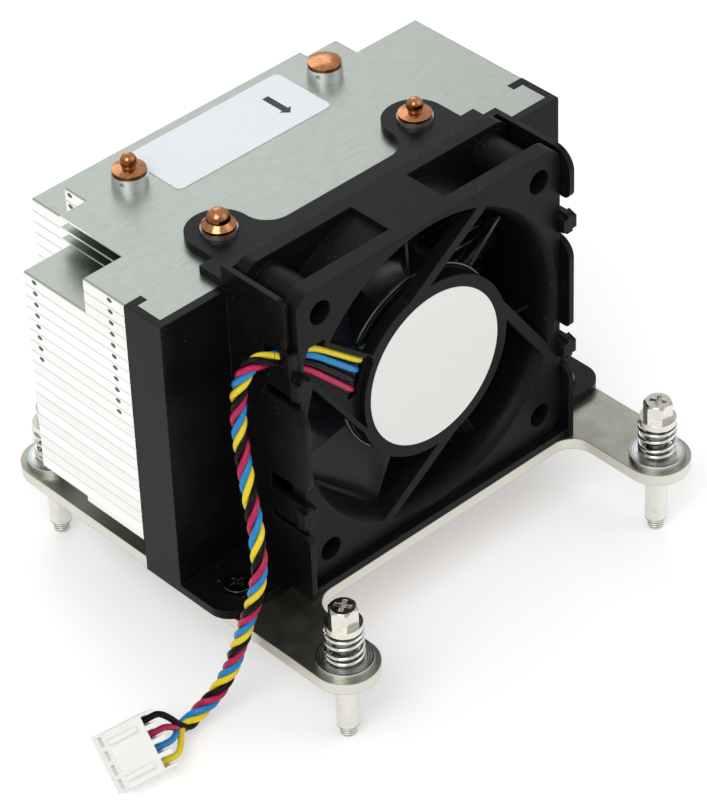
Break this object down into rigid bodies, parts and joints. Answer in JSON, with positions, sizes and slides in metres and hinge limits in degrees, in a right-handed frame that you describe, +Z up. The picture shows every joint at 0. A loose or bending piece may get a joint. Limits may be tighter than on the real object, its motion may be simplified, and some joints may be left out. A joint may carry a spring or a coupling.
{
  "type": "server cpu cooler",
  "caption": "Finned server CPU heatsink with heat pipes, spring-screw base plate and a clip-on 60 mm fan in a black shroud.",
  "frame": {"origin": "centre of the cold plate's contact face, which meets the processor", "axes": "+X across the fan to the right as seen from the fan side, +Y from the fan through the fins to the rear, +Z up from the board"},
  "size_m": [0.1204, 0.0884, 0.0786],
  "materials": {
    "fin_aluminium": "satin aluminium sheet",
    "pipe_copper": "satin copper",
    "cold_plate_copper": "machined copper",
    "plate_nickel": "nickelled steel, fine grain",
    "shroud_black": "satin black moulding",
    "frame_black": "satin black moulding",
    "rotor_black": "satin black moulding",
    "yoke_steel": "drawn steel",
    "magnet_grey": "ferrite",
    "shaft_steel": "ground steel",
    "bearing_bronze": "sintered bronze",
    "core_steel": "laminated steel",
    "winding_copper": "enamelled copper wire",
    "board_green": "solder mask",
    "label_white": "off-white film",
    "label_blue_white": "bluish white film",
    "screw_black": "black oxide",
    "lead_wires": "PVC insulation in yellow, blue, black and crimson",
    "plug_white": "natural nylon",
    "terminal_tin": "tinned bronze",
    "screw_nickel": "nickelled steel",
    "spring_steel": "plated spring wire",
    "washer_zinc": "bluish zinc plate",
    "clip_steel": "spring steel"
  },
  "bodies": {
    "cooler": {"fin_01": "fin_aluminium", "fin_02": "fin_aluminium", "fin_03": "fin_aluminium", "fin_04": "fin_aluminium", "fin_05": "fin_aluminium", "fin_06": "fin_aluminium", "fin_07": "fin_aluminium", "fin_08": "fin_aluminium", "fin_09": "fin_aluminium", "fin_10": "fin_aluminium", "fin_11": "fin_aluminium", "fin_12": "fin_aluminium", "fin_13": "fin_aluminium", "fin_14": "fin_aluminium", "fin_15": "fin_aluminium", "fin_16": "fin_aluminium", "fin_17": "fin_aluminium", "fin_18": "fin_aluminium", "fin_19": "fin_aluminium", "fin_20": "fin_aluminium", "fin_21": "fin_aluminium", "heat_pipe_front": "pipe_copper", "heat_pipe_rear": "pipe_copper", "cold_plate": "cold_plate_copper", "base_plate": "plate_nickel", "fan_shroud": "shroud_black", "fan_frame": "frame_black", "bearing_front": "bearing_bronze", "bearing_rear": "bearing_bronze", "stator_core": "core_steel", "stator_windings": "winding_copper", "fan_circuit_board": "board_green", "fan_label": "label_white", "airflow_label": "label_blue_white", "foot_screws": "screw_black", "fan_lead": "lead_wires", "hub_wires": "lead_wires", "connector_wire_ends": "lead_wires", "connector_housing": "plug_white", "connector_terminals": "terminal_tin", "screw_spring_front_left": "spring_steel", "screw_washer_front_left": "washer_zinc", "screw_spring_front_right": "spring_steel", "screw_washer_front_right": "washer_zinc", "screw_spring_rear_left": "spring_steel", "screw_washer_rear_left": "washer_zinc", "screw_spring_rear_right": "spring_steel", "screw_washer_rear_right": "washer_zinc"},
    "rotor": {"fan_rotor": "rotor_black", "rotor_yoke": "yoke_steel", "rotor_magnet": "magnet_grey", "fan_shaft": "shaft_steel"},
    "screw_slide_front_left": {"retaining_clip_front_left": "clip_steel"},
    "screw_front_left": {"mounting_screw_front_left": "screw_nickel"},
    "screw_slide_front_right": {"retaining_clip_front_right": "clip_steel"},
    "screw_front_right": {"mounting_screw_front_right": "screw_nickel"},
    "screw_slide_rear_left": {"retaining_clip_rear_left": "clip_steel"},
    "screw_rear_left": {"mounting_screw_rear_left": "screw_nickel"},
    "screw_slide_rear_right": {"retaining_clip_rear_right": "clip_steel"},
    "screw_rear_right": {"mounting_screw_rear_right": "screw_nickel"}
  },
  "joints": [
    {"name": "fan_spin", "type": "hinge", "parent": "cooler", "child": "rotor", "pos_m": [0, -0.0135, 0.0377], "axis": [0, 1, 0], "continuous": true},
    {"name": "screw_press_front_left", "type": "slide", "parent": "cooler", "child": "screw_slide_front_left", "axis": [0, 0, 1], "range_m": [-0.0024, 0], "stiffness_N_per_m": 2000, "springref_m": 0.001, "deforming": ["screw_spring_front_left"]},
    {"name": "screw_turn_front_left", "type": "hinge", "parent": "screw_slide_front_left", "child": "screw_front_left", "pos_m": [-0.0375, -0.0375, 0], "axis": [0, 0, 1], "continuous": true},
    {"name": "screw_press_front_right", "type": "slide", "parent": "cooler", "child": "screw_slide_front_right", "axis": [0, 0, 1], "range_m": [-0.0024, 0], "stiffness_N_per_m": 2000, "springref_m": 0.001, "deforming": ["screw_spring_front_right"]},
    {"name": "screw_turn_front_right", "type": "hinge", "parent": "screw_slide_front_right", "child": "screw_front_right", "pos_m": [0.0375, -0.0375, 0], "axis": [0, 0, 1], "continuous": true},
    {"name": "screw_press_rear_left", "type": "slide", "parent": "cooler", "child": "screw_slide_rear_left", "axis": [0, 0, 1], "range_m": [-0.0024, 0], "stiffness_N_per_m": 2000, "springref_m": 0.001, "deforming": ["screw_spring_rear_left"]},
    {"name": "screw_turn_rear_left", "type": "hinge", "parent": "screw_slide_rear_left", "child": "screw_rear_left", "pos_m": [-0.0375, 0.0375, 0], "axis": [0, 0, 1], "continuous": true},
    {"name": "screw_press_rear_right", "type": "slide", "parent": "cooler", "child": "screw_slide_rear_right", "axis": [0, 0, 1], "range_m": [-0.0024, 0], "stiffness_N_per_m": 2000, "springref_m": 0.001, "deforming": ["screw_spring_rear_right"]},
    {"name": "screw_turn_rear_right", "type": "hinge", "parent": "screw_slide_rear_right", "child": "screw_rear_right", "pos_m": [0.0375, 0.0375, 0], "axis": [0, 0, 1], "continuous": true}
  ]
}
